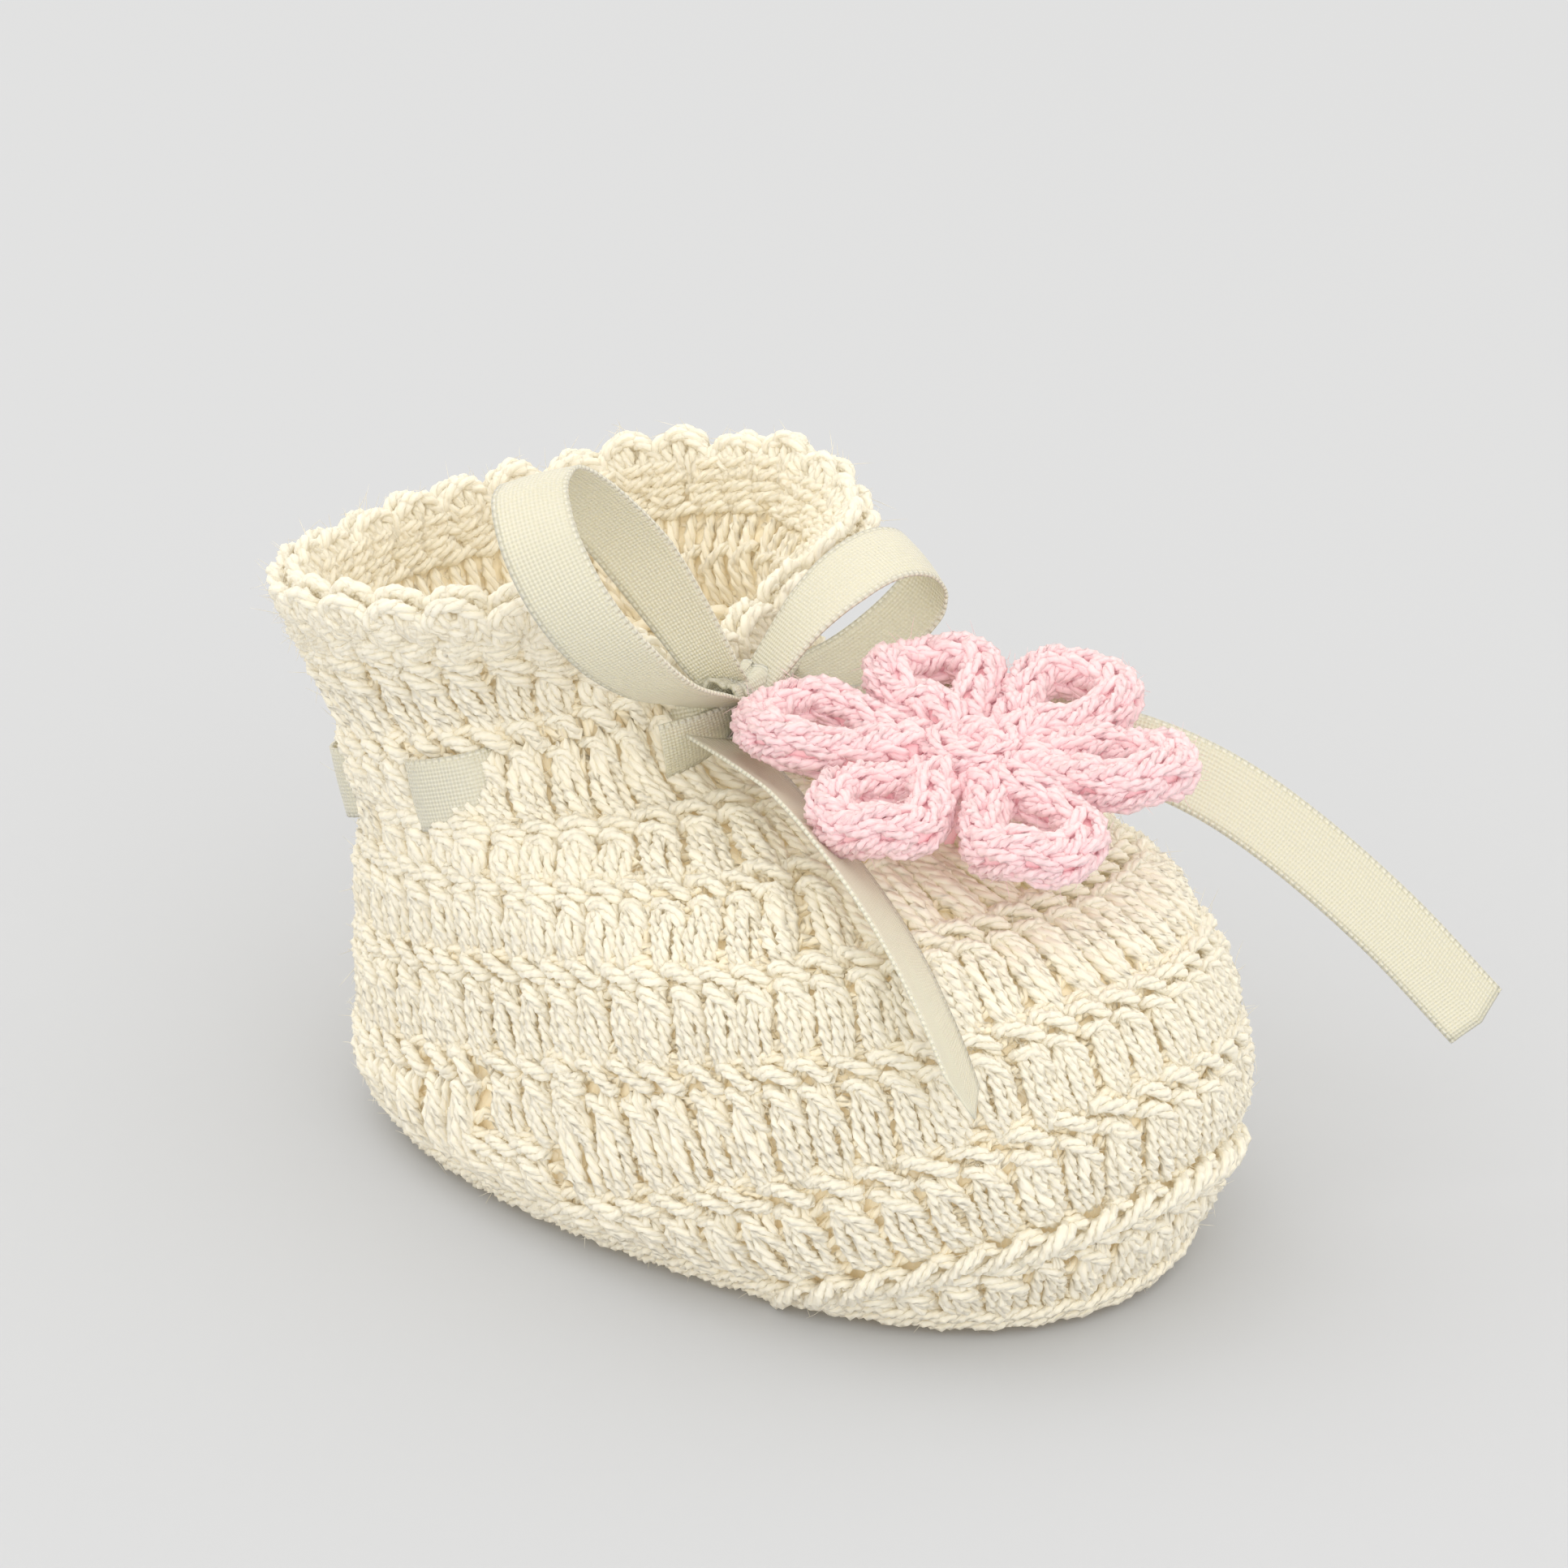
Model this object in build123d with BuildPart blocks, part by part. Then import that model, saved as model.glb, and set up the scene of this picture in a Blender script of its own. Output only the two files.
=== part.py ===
"""Crocheted newborn bootie with a drawn ribbon bow and a looped flower.

Millimetres, +Z up, toe towards -Y, +X is the wearer's left.  Z = 0 is the ground
under the sole.  Every soft round is a band of one hollow shell, cut where the
real crochet rounds meet, so each band lies face to face with its neighbours.
"""

import math
import os

from build123d import *

os.makedirs("parts", exist_ok=True)

# ---- driving dimensions -------------------------------------------------------
WALL = 2.6                # thickness of one layer of double crochet
SOLE_THICK = 2.8          # sole layer, a little thicker where the foot presses
RIBBON_WIDTH = 6.5        # quarter inch satin ribbon
RIBBON_THICK = 0.5
EYELET_PLAY = 0.15        # ribbon to crochet play inside the eyelets
ROPE = 4.4                # diameter of one crocheted petal rope
HINGE_GAP = 0.35          # air between a moving part and what it turns on

# shape sections from the ground up:
# toe y, heel y, toe radius, heel radius, height at the toe, height at the heel
SECTIONS = [
    (-38.0, 41.6, 18.1, 23.5, 0.0, 0.0),
    (-41.3, 44.9, 23.0, 26.6, 6.0, 4.6),
    (-43.4, 45.6, 24.9, 25.0, 15.0, 11.0),
    (-40.7, 46.4, 24.3, 23.0, 25.0, 17.0),
    (-32.2, 46.7, 23.0, 21.5, 32.0, 21.6),
    (-12.0, 46.9, 20.5, 20.0, 36.0, 25.4),
    (5.0, 46.8, 19.2, 19.8, 38.0, 29.0),
    (9.0, 47.6, 19.4, 20.5, 44.5, 34.0),
    (6.4, 50.2, 21.8, 22.6, 50.4, 40.8),
    (2.0, 52.9, 24.2, 24.8, 57.2, 46.4),
]
SOFTNESS = 0.22           # how gently the side of an outline runs into its ends
OUTLINE_POINTS = 24

# planes that part one crochet round from the next: height at two stations
TOE_STATION = -40.0
HEEL_STATION = 30.0
ROUND_TOPS = {
    "sole": (9.2, -21.0),
    "sole_ridge": (11.2, -20.0),
    "wall_round_1": (20.8, -8.0),
    "wall_round_2": (29.3, 9.0),
    "wall_round_3": (37.0, 17.8),
    "instep_round": (42.0, 25.4),
    "eyelet_round": (58.2, 36.2),
    "cuff_round": (60.0, 45.2),
    "cuff_top_round": (63.0, 48.4),
    "scallop_edging": (90.0, 90.0),
}
RIBBON_STATIONS = (55.2, 31.4)   # middle of the ribbon at the same two stations
RIBBON_LINE = (6.2, 46.9, 19.3, 19.9)   # outside of the wall at that height
RIBBON_SEAM = 7           # outline point where the closed ribbon starts

SCALLOPS = 28             # little shells along the rim
SCALLOP_NOTCH = 1.1       # radius of the notch between two of them
GATHERS = 5               # times the ribbon goes out and in around the ankle
OUT_SHARE = 0.36          # share of the ribbon that shows outside

FLOWER = (2.0, -18.0, 42.0)
# azimuth, lift and reach of each petal from the middle of the flower
PETALS = [
    (120, 6, 20.5),
    (60, 14, 17.0),
    (-1, 10, 18.0),
    (-56, 2, 19.0),
    (-113, -6, 18.5),
    (-176, -3, 17.5),
]
PETAL_HALF = 5.6          # half the width of a petal loop, over the rope

KNOT = (-3.5, 3.9, 42.0)

Y_SHIFT = -4.15           # brings the middle of the length over the origin


def outline(toe_y, heel_y, toe_r, heel_r, inset=0.0, count=OUTLINE_POINTS, swing=None):
    """Points of a smooth egg outline, toe first, as (x, y), drawn in by the inset."""
    toe_c = toe_y + toe_r
    heel_c = heel_y - heel_r
    full = []
    for i in range(count):
        a = 2 * math.pi * i / count
        reach_toe = toe_r - toe_c * math.cos(a)
        reach_heel = heel_r - heel_c * math.cos(a)
        w_toe = 1 / (1 + math.exp(SOFTNESS * (reach_heel - reach_toe)))
        top = max(reach_toe, reach_heel)
        low = min(reach_toe, reach_heel)
        reach = top + math.log(1 + math.exp(SOFTNESS * (low - top))) / SOFTNESS
        slope = math.sin(a) * (w_toe * toe_c + (1 - w_toe) * heel_c)
        x = reach * math.sin(a) + slope * math.cos(a)
        y = -reach * math.cos(a) + slope * math.sin(a)
        full.append((a, x, y))
    lo = min(p[2] for p in full)
    hi = max(p[2] for p in full)
    span = (heel_y - toe_y) / (hi - lo)
    points = []
    for a, x, y in full:
        draw = inset - (swing(a) if swing else 0.0)
        y = toe_y + (y - lo) * span
        points.append((x - draw * math.sin(a), y + draw * math.cos(a)))
    return points


def tilted(y_a, z_a, y_b, z_b):
    """Plane through two stations of the length, level across the foot."""
    along = Vector(0, y_b - y_a, z_b - z_a).normalized()
    return Plane(origin=(0, y_a, z_a), x_dir=(1, 0, 0), z_dir=Vector(1, 0, 0).cross(along))


def section_plane(sec):
    return tilted(sec[0], sec[4], sec[1], sec[5])


def stretch(sec):
    """Length along a tilted section for one millimetre along Y."""
    return math.hypot(1, (sec[5] - sec[4]) / (sec[1] - sec[0]))


def placed(sec, inset):
    pts = outline(sec[0], sec[1], sec[2], sec[3], inset)
    k = stretch(sec)
    return [(x, (y - sec[0]) * k) for x, y in pts]


def body_solid(inset):
    with BuildPart() as solid:
        for sec in SECTIONS:
            with BuildSketch(section_plane(sec)):
                with BuildLine():
                    Spline(*placed(sec, inset), periodic=True)
                make_face()
        loft()
    return solid.part


def under(heights):
    """Everything under a plane given by its heights at the two stations."""
    cut = tilted(TOE_STATION, heights[0], HEEL_STATION, heights[1])
    with BuildPart() as half:
        with BuildSketch(cut):
            Rectangle(400, 400)
        extrude(amount=-300)
    return half.part


def save(part, name):
    """Shift a finished piece to the shared origin, label it and write it."""
    solid = Location((0, Y_SHIFT, 0)) * part
    solid.label = name
    export_step(solid, f"parts/{name}.step")
    print(f"{name:20s} {solid.volume:9.1f} mm3  {len(solid.solids())} solid")
    return solid


def out_and_in(a):
    """How far the ribbon swings out of the middle of the wall at one bearing."""
    beat = math.cos(GATHERS * a) - math.cos(math.pi * OUT_SHARE)
    return math.tanh(2.6 * beat) * RIBBON_SWING


def wave_outline(grow):
    """The ribbon's run around the ankle, out and in through the wall."""
    slope = (RIBBON_STATIONS[1] - RIBBON_STATIONS[0]) / (HEEL_STATION - TOE_STATION)
    tilt = math.hypot(1, slope)
    toe_y, heel_y, toe_r, heel_r = RIBBON_LINE
    pts = outline(
        toe_y, heel_y, toe_r, heel_r, WALL / 2 - grow, GATHERS * 14, out_and_in
    )
    pts = pts[RIBBON_SEAM:] + pts[:RIBBON_SEAM]
    return [(x, (y - TOE_STATION) * tilt) for x, y in pts]


def ribbon_ring(thick, width):
    """Closed ribbon of a given thickness and width on its tilted plane."""
    z_toe, z_heel = RIBBON_STATIONS
    with BuildPart() as ring:
        with BuildSketch(tilted(TOE_STATION, z_toe, HEEL_STATION, z_heel)):
            with BuildLine():
                Spline(*wave_outline(thick / 2), periodic=True)
            make_face()
            with BuildLine():
                Spline(*wave_outline(-thick / 2), periodic=True)
            make_face(mode=Mode.SUBTRACT)
        extrude(amount=width / 2, both=True)
    return ring.part


def petal(azimuth, lift, reach):
    """One looped petal of crocheted rope, closed near the flower's middle."""
    a = math.radians(azimuth)
    e = math.radians(lift)
    out = Vector(math.cos(a) * math.cos(e), math.sin(a) * math.cos(e), math.sin(e))
    side = Vector(-math.sin(a), math.cos(a), 0)
    start = CENTRE_R + HINGE_GAP + ROPE / 2
    end = reach - ROPE / 2
    half = PETAL_HALF - ROPE / 2
    lane = [
        (start, 0.0),
        (start + 0.30 * (end - start), half * 0.56),
        (start + 0.72 * (end - start), half),
        (end, 0.0),
        (start + 0.72 * (end - start), -half),
        (start + 0.30 * (end - start), -half * 0.56),
    ]
    mid = Vector(*FLOWER)
    pts = [mid + out * s + side * t for s, t in lane]
    with BuildPart() as loop:
        with BuildLine() as route:
            Spline(*pts, periodic=True)
        with BuildSketch(Plane(origin=route.line @ 0, z_dir=route.line % 0)):
            Circle(ROPE / 2)
        sweep()
    return loop.part


def teardrop(root, length, half):
    """Points of a loop seen edge on, narrow at the knot."""
    return [
        (root, 0.0),
        (root + 0.10 * length, half * 0.30),
        (root + 0.36 * length, half * 0.78),
        (root + 0.70 * length, half),
        (root + 0.93 * length, half * 0.56),
        (root + length, 0.0),
        (root + 0.93 * length, -half * 0.56),
        (root + 0.70 * length, -half),
        (root + 0.36 * length, -half * 0.78),
        (root + 0.10 * length, -half * 0.30),
    ]


def bow_loop(plane, length, half):
    """One loop of the bow, a folded ribbon standing on its edge."""
    root = KNOT_HALF + HINGE_GAP + 1.2
    with BuildPart() as loop:
        with BuildSketch(plane):
            with BuildLine():
                Spline(*teardrop(root, length, half), periodic=True)
            make_face()
            with BuildLine():
                inner_root = root + 2.2 * RIBBON_THICK
                inner_length = length - 3.2 * RIBBON_THICK
                Spline(*teardrop(inner_root, inner_length, half - RIBBON_THICK), periodic=True)
            make_face(mode=Mode.SUBTRACT)
        extrude(amount=RIBBON_WIDTH / 2, both=True)
    return loop.part


def tail(start, heading, drops, radii):
    """A loose end of ribbon, flat section swept along rounded straight runs."""
    a = math.radians(heading)
    pts = [
        Vector(start[0] + s * math.cos(a), start[1] + s * math.sin(a), z) for s, z in drops
    ]
    with BuildPart() as strip:
        with BuildLine() as route:
            FilletPolyline(*pts, radius=radii)
        first = (pts[1] - pts[0]).normalized()
        flat = Vector(-math.sin(a), math.cos(a), 0)
        with BuildSketch(Plane(origin=pts[0], x_dir=flat, z_dir=first)):
            Rectangle(RIBBON_WIDTH, RIBBON_THICK)
        sweep()
    run = sum(e.length for e in route.line.edges())
    print(f"tail length {run:.1f} mm, bend radii {radii}")
    print(f"section x length {run * RIBBON_WIDTH * RIBBON_THICK:.1f} mm3")
    return strip.part


RIBBON_SWING = WALL / 2 + RIBBON_THICK / 2 + 0.3
CENTRE_R = 4.2
KNOT_HALF = 2.6

# ---- the hollow shell -----------------------------------------------------------
outer = body_solid(0.0)
inner = body_solid(WALL)
with BuildPart() as ground_box:
    with Locations((0, 0, 100)):
        Box(400, 400, 200)
with BuildPart() as floor_box:
    with Locations((0, 0, SOLE_THICK / 2)):
        Box(400, 400, SOLE_THICK)
outer = outer & ground_box.part
shell = outer - (inner - floor_box.part)
floor = inner & floor_box.part & ground_box.part

# the rim is drawn down at the front, where the ribbon gathers it
with BuildPart() as scoop:
    with BuildSketch(Plane.XZ.offset(-24)):
        with BuildLine():
            Spline((-24, 61), (-14, 49.2), (-4, 44.8), (8, 50.5), (18, 61))
            Line((18, 61), (-24, 61))
        make_face()
    extrude(amount=44)

ring_out = ribbon_ring(RIBBON_THICK + 2 * EYELET_PLAY, RIBBON_WIDTH + 2 * EYELET_PLAY)

with BuildPart() as notches:
    for i in range(SCALLOPS):
        turn = 360 * (i + 0.5) / SCALLOPS
        a = math.radians(turn)
        y = 27.45 - 24.5 * math.cos(a)
        z = 57.2 + (46.4 - 57.2) * (y - 2.0) / 50.9
        spot = Plane(
            origin=(15 * math.sin(a), 27.45 - 15 * math.cos(a), z),
            z_dir=(math.sin(a), -math.cos(a), 0),
        )
        with BuildSketch(spot):
            Circle(SCALLOP_NOTCH)
        extrude(amount=16)

done = {}
walls = shell - floor
lower = None
for name, heights in ROUND_TOPS.items():
    cap = under(heights)
    band = walls & cap
    if lower:
        band = (walls - lower) & cap
    lower = cap
    if name == "sole":
        band = band + floor
    if name == "eyelet_round":
        band = band - ring_out
    if name in ("cuff_round", "cuff_top_round", "scallop_edging"):
        band = band - scoop.part
    if name == "scallop_edging":
        band = band - notches.part
    done[name] = save(band, name)

# ---- ribbon -------------------------------------------------------------------
done["ribbon_band"] = save(ribbon_ring(RIBBON_THICK, RIBBON_WIDTH), "ribbon_band")

with BuildPart() as knot:
    with Locations(KNOT):
        Box(2 * KNOT_HALF, 3.6, 6.0)
    fillet(knot.edges(), radius=1.0)
done["bow_knot"] = save(knot.part, "bow_knot")

left_plane = Plane(origin=KNOT, x_dir=(0.913, -0.156, 0.377), z_dir=(-0.074, -0.972, -0.222))
right_plane = Plane(origin=KNOT, x_dir=(-0.652, 0.100, 0.752), z_dir=(0.449, -0.748, 0.489))
done["bow_loop_left"] = save(bow_loop(left_plane, 19.0, 4.8), "bow_loop_left")
done["bow_loop_right"] = save(bow_loop(right_plane, 25.4, 6.4), "bow_loop_right")

TAIL_LEFT = tail(
    (-0.3, 3.2), -48.8,
    [(0.0, 40.2), (15.5, 40.6), (34.5, 37.0), (47.8, 27.0), (61.3, 13.0)],
    [28.0, 22.0, 40.0],
)
TAIL_RIGHT = tail(
    (-7.0, 2.8), -108.2,
    [(0.0, 39.8), (16.5, 38.6), (31.0, 35.2), (45.8, 24.8)],
    [26.0, 22.0],
)
done["ribbon_tail_left"] = save(TAIL_LEFT, "ribbon_tail_left")
done["ribbon_tail_right"] = save(TAIL_RIGHT, "ribbon_tail_right")

# ---- flower -------------------------------------------------------------------
with BuildPart() as base:
    with Locations((FLOWER[0], FLOWER[1], 36.4)):
        Cylinder(3.4, 5.4)
flower_base = base.part - inner - shell
done["flower_stitches"] = save(flower_base, "flower_stitches")

with BuildPart() as heart:
    with Locations((FLOWER[0], FLOWER[1], FLOWER[2])):
        Sphere(CENTRE_R)
    with Locations((FLOWER[0], FLOWER[1], 39.1 + HINGE_GAP - 10)):
        Box(20, 20, 20, mode=Mode.SUBTRACT)
done["flower_centre"] = save(heart.part, "flower_centre")

for number, (azimuth, lift, reach) in enumerate(PETALS, start=1):
    name = f"petal_{number}"
    done[name] = save(petal(azimuth, lift, reach), name)

box = Compound(children=[p for n, p in done.items() if "tail" not in n]).bounding_box()
print(f"x {box.min.X:.2f} {box.max.X:.2f}  y {box.min.Y:.2f} {box.max.Y:.2f}")
print(f"z {box.min.Z:.2f} {box.max.Z:.2f}")
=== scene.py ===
import math

import bpy
import numpy as np
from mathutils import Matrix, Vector


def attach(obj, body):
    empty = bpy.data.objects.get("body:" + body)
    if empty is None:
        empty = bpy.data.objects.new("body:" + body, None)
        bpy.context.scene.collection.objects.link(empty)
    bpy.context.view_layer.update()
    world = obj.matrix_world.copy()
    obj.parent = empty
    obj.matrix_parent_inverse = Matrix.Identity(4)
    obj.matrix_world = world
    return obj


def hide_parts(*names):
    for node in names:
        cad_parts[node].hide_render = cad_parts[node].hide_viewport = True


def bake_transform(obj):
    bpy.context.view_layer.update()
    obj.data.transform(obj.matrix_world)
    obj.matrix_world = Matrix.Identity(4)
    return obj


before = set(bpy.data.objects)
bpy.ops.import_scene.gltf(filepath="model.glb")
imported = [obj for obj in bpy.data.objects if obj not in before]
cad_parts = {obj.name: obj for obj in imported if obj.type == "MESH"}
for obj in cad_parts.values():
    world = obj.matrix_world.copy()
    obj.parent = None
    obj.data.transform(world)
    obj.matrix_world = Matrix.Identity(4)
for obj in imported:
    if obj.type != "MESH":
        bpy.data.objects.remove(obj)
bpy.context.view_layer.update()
rng = np.random.default_rng(7)

MM = 0.001
TAU = 2 * math.pi
Y_SHIFT = -4.15         # mm from the drawing's origin to the frame's

# ---------------------------------------------------------------- camera
AZIMUTH = math.radians(-45)
ELEVATION = math.radians(24.5)
DISTANCE = 0.5
TARGET_HEIGHT = 28      # mm
back = Vector((
    math.sin(AZIMUTH) * math.cos(ELEVATION),
    -math.cos(AZIMUTH) * math.cos(ELEVATION),
    math.sin(ELEVATION),
))
target = Vector((0, Y_SHIFT, TARGET_HEIGHT)) * MM
camera = bpy.data.objects.new("camera", bpy.data.cameras.new("camera"))
bpy.context.scene.collection.objects.link(camera)
camera.location = target + back * DISTANCE
camera.rotation_euler = back.to_track_quat("Z", "Y").to_euler()
camera.data.lens = 134.2
camera.data.sensor_width = 36
camera.data.shift_x = -0.0109
camera.data.shift_y = 0.0476
camera.data.clip_end = 20
bpy.context.scene.camera = camera


# ---------------------------------------------------------------- yarn
END_TAPER = 0.25        # share of its radius that a strand keeps at a cut end
FIBRES = 3              # places per strand where a loose fibre may stand off
FIBRE_RADIUS = 0.024
PLIES = 3
PLY_LAY = 4.6           # mm along the yarn for one turn of its plies
PLY_OFFSET = 0.45       # share of the yarn's radius
PLY_RADIUS = 0.61


def smooth(points, count, closed=False):
    """Catmull-Rom through control points; points is (..., K, 3)."""
    p = np.asarray(points, float)
    if closed:
        p = np.concatenate([p[..., -1:, :], p, p[..., :2, :]], axis=-2)
    else:
        first = 2 * p[..., :1, :] - p[..., 1:2, :]
        last = 2 * p[..., -1:, :] - p[..., -2:-1, :]
        p = np.concatenate([first, p, last], axis=-2)
    spans = p.shape[-2] - 3
    t = np.linspace(0, spans, count, endpoint=not closed)
    i = np.minimum(t.astype(int), spans - 1)
    f = (t - i)[:, None]
    a, b, c, d = (p[..., i + k, :] for k in range(4))
    return 0.5 * (
        2 * b + (c - a) * f + (2 * a - 5 * b + 4 * c - d) * f ** 2
        + (3 * b - a - 3 * c + d) * f ** 3
    )


def unit(v):
    return v / np.maximum(np.linalg.norm(v, axis=-1, keepdims=True), 1e-9)


class Pile:
    """Gathers strands of one piece and turns them into one mesh."""

    def __init__(self):
        self.co = []
        self.faces = []
        self.uv = []
        self.painted_shade = []
        self.seeds = []
        self.total = 0

    def add(self, co, faces, uv, painted_shade):
        self.co.append(co)
        self.faces.append(faces + self.total)
        self.uv.append(uv)
        self.painted_shade.append(painted_shade)
        self.total += len(co)

    def mesh(self, name, material):
        co = np.concatenate(self.co)
        faces = np.concatenate(self.faces)
        me = bpy.data.meshes.new(name)
        me.vertices.add(len(co))
        me.vertices.foreach_set("co", co.ravel().astype(np.float32))
        me.loops.add(faces.size)
        me.loops.foreach_set("vertex_index", faces.ravel().astype(np.int32))
        me.polygons.add(len(faces))
        me.polygons.foreach_set("loop_start", np.arange(0, faces.size, 4, dtype=np.int32))
        me.polygons.foreach_set("use_smooth", np.ones(len(faces), bool))
        layer = me.uv_layers.new(name="yarn")
        layer.data.foreach_set("uv", np.concatenate(self.uv).ravel().astype(np.float32))
        # per-vertex painted shade: how far each strand's colour moves towards the warm shade tone
        painted_shade = me.attributes.new("painted_shade", "FLOAT", "POINT")
        painted_shade.data.foreach_set("value", np.concatenate(self.painted_shade).astype(np.float32))
        me.update(calc_edges=True)
        me.validate()
        me.materials.append(material)
        obj = bpy.data.objects.new(name, me)
        bpy.context.scene.collection.objects.link(obj)
        return obj


def strands(pile, centre, outward, radius, painted_shade=0.0, sides=8, flat=1.0, closed=False):
    """Sweeps M centre lines (M, N, 3), in mm, into yarn; outward steers the section."""
    c = np.asarray(centre, float)
    m, n = c.shape[:2]
    if closed:
        tangent = unit(np.roll(c, -1, 1) - np.roll(c, 1, 1))
    else:
        tangent = unit(np.gradient(c, axis=1))
    side = unit(np.cross(tangent, outward))
    up = np.cross(side, tangent)
    r = np.broadcast_to(np.asarray(radius, float), (m, n)).copy()
    if not closed:
        r[:, 0] *= END_TAPER
        r[:, -1] *= END_TAPER
    th = np.arange(sides) * TAU / sides
    ring = (
        side[:, :, None] * np.cos(th)[None, None, :, None]
        + up[:, :, None] * (np.sin(th) * flat)[None, None, :, None]
    )
    co = c[:, :, None] + ring * r[:, :, None, None]
    if sides > 3:
        strand = rng.integers(0, m, FIBRES * m)
        place_on = rng.integers(1, n - 1, FIBRES * m)
        turn = rng.integers(0, sides, FIBRES * m)
        pile.seeds.append(np.concatenate([
            co[strand, place_on, turn], ring[strand, place_on, turn], tangent[strand, place_on],
        ], 1))
    steps = np.linalg.norm(np.diff(c, axis=1), axis=2)
    run = np.concatenate([np.zeros((m, 1)), np.cumsum(steps, 1)], 1) + rng.uniform(0, 5, (m, 1))
    rows = n if closed else n - 1
    i = np.arange(rows)[:, None]
    j = np.arange(sides)[None, :]
    i2 = (i + 1) % n
    j2 = (j + 1) % sides
    quad = np.stack([i * sides + j, i * sides + j2, i2 * sides + j2, i2 * sides + j], -1)
    quad = quad.reshape(-1, 4)
    faces = (quad[None] + (np.arange(m) * n * sides)[:, None, None]).reshape(-1, 4)
    v0 = run[:, :rows, None]
    if closed:
        run = np.concatenate([run, run[:, -1:] + steps.mean()], 1)
    v1 = run[:, 1:, None]
    u0 = np.broadcast_to((j / sides)[None], (m, rows, sides))
    u1 = u0 + 1 / sides
    v0 = np.broadcast_to(v0, u0.shape)
    v1 = np.broadcast_to(v1, u0.shape)
    uv = np.stack([u0, v0, u1, v0, u1, v1, u0, v1], -1).reshape(-1, 2)
    dp = np.broadcast_to(np.asarray(painted_shade, float), (m, n))
    dp = np.repeat(dp.reshape(-1), sides)
    pile.add(co.reshape(-1, 3) * MM, faces, uv, dp)


def plied(pile, centre, outward, radius, painted_shade=0.0, sides=5, flat=0.9, closed=False):
    """Yarn of a few soft plies laid around each other."""
    c = np.asarray(centre, float)
    m, n = c.shape[:2]
    if closed:
        tangent = unit(np.roll(c, -1, 1) - np.roll(c, 1, 1))
    else:
        tangent = unit(np.gradient(c, axis=1))
    side = unit(np.cross(tangent, outward))
    up = np.cross(side, tangent)
    steps = np.linalg.norm(np.diff(c, axis=1), axis=2)
    run = np.concatenate([np.zeros((m, 1)), np.cumsum(steps, 1)], 1)
    if closed:
        turns = np.maximum(np.round(run[:, -1:] / PLY_LAY), 1)
        run = run * turns * PLY_LAY / (run[:, -1:] * n / (n - 1))
    size = np.broadcast_to(np.asarray(radius, float), (m, n))
    start = rng.uniform(0, TAU, (m, 1))
    pinch = np.ones(n)
    if not closed:
        pinch[0] = pinch[-1] = 0.35
    for k in range(PLIES):
        th = start + TAU * k / PLIES + run / PLY_LAY * TAU
        off = side * np.cos(th)[..., None] + up * (np.sin(th) * flat)[..., None]
        line = c + off * (size * PLY_OFFSET * pinch)[..., None]
        strands(pile, line, off, size * PLY_RADIUS, painted_shade, sides, 1.0, closed)


def fuzz(pile, share):
    """Loose cotton fibres standing off the yarn, at a share of the marked places."""
    seeds = np.concatenate(pile.seeds)
    seeds = seeds[rng.random(len(seeds)) < share]
    m = len(seeds)
    root, out, along = seeds[:, :3], seeds[:, 3:6], seeds[:, 6:]
    along = along * rng.choice([-1.0, 1.0], (m, 1))
    stray = rng.normal(0, 0.45, (m, 3))
    long = rng.uniform(0.5, 1.5, (m, 1))
    mid = root + (out * 0.42 + along * 0.9 + stray * 0.4) * long * 0.5
    end = root + (out * 0.62 + along * 1.2 + stray) * long
    line = smooth(np.stack([root - out * 0.1, mid, end], 1), 5)
    strands(pile, line, np.repeat(out[:, None], 5, 1), FIBRE_RADIUS, 0.0, 3)


# ---------------------------------------------------------------- materials
def new_material(name):
    mat = bpy.data.materials.new(name)
    mat.use_nodes = True
    nt = mat.node_tree
    return mat, nt, nt.nodes["Principled BSDF"]


def maths(nt, kind, a, b=None):
    node = nt.nodes.new("ShaderNodeMath")
    node.operation = kind
    for slot, value in ((0, a), (1, b)):
        if value is None:
            continue
        if isinstance(value, (int, float)):
            node.inputs[slot].default_value = value
        else:
            nt.links.new(value, node.inputs[slot])
    return node.outputs[0]


def yarn_places(nt):
    """The share around the yarn or across the ribbon, and the run along it in mm."""
    uv = nt.nodes.new("ShaderNodeUVMap")
    uv.uv_map = "yarn"
    parts = nt.nodes.new("ShaderNodeSeparateXYZ")
    nt.links.new(uv.outputs["UV"], parts.inputs[0])
    return parts.outputs[0], parts.outputs[1]


def relief(nt, bsdf, height, strength, distance):
    bump = nt.nodes.new("ShaderNodeBump")
    bump.inputs["Strength"].default_value = strength
    bump.inputs["Distance"].default_value = distance
    nt.links.new(height, bump.inputs["Height"])
    nt.links.new(bump.outputs[0], bsdf.inputs["Normal"])


def tint(nt, bsdf, tone, light, dark):
    """Colours the surface from light to dark by tone, and gives back the ramp's stops."""
    ramp = nt.nodes.new("ShaderNodeValToRGB")
    stops = ramp.color_ramp.elements
    stops[0].color = (*light, 1)
    stops[1].color = (*dark, 1)
    nt.links.new(tone, ramp.inputs[0])
    nt.links.new(ramp.outputs[0], bsdf.inputs["Base Color"])
    return stops


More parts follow.
